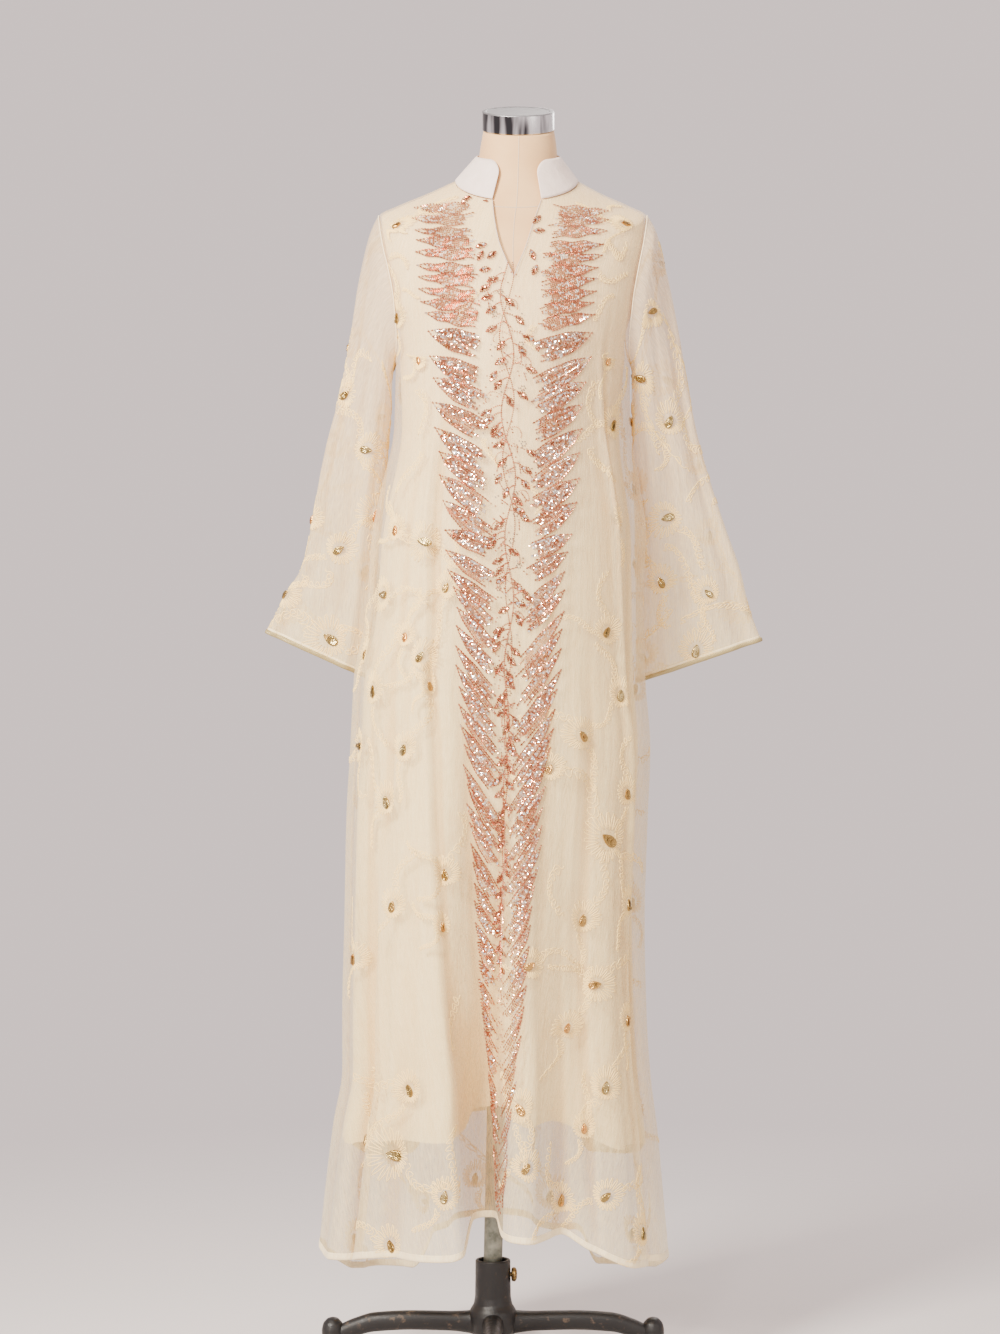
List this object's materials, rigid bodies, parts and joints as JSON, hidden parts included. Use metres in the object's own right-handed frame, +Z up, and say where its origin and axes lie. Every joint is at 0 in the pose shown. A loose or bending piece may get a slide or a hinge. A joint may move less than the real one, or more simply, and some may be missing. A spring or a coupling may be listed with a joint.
{
  "type": "sequin abaya on dress form",
  "caption": "Long-sleeved sheer chiffon abaya with stand collar, V slit and slip lining, embroidered in sequin leaf bands, worn on a limbless dress form with cap, pole and cast base.",
  "frame": {"origin": "on the floor, in the middle of the whole part's bounding box", "axes": "+Z up; the front of the garment faces -Y; the wearer's left is at +X and right at -X"},
  "size_m": [0.689, 0.4664, 1.719],
  "materials": {
    "chiffon": "sheer crinkled matt chiffon",
    "slip": "plain matt cream lining",
    "collar_cloth": "plain whitish, matt",
    "trim": "narrow gold-olive edging, slight sheen",
    "form_cover": "plain beige cotton",
    "cap_metal": "chrome, slightly dulled on top",
    "pole_metal": "aged grey steel",
    "base_iron": "black, worn on its edges",
    "screw_metal": "aged, dark",
    "pad": "black rubber"
  },
  "bodies": {
    "root": {"front": "chiffon", "back": "chiffon", "sleeve_right": "chiffon", "sleeve_left": "chiffon", "lining_front": "slip", "lining_back": "slip", "collar": "collar_cloth", "cuff_trim_right": "trim", "cuff_trim_left": "trim", "dress_form": "form_cover", "neck_cap": "cap_metal", "pole": "pole_metal", "base": "base_iron", "thumb_screw": "screw_metal", "foot_front": "pad", "foot_back": "pad", "foot_left": "pad", "foot_right": "pad"}
  },
  "joints": []
}
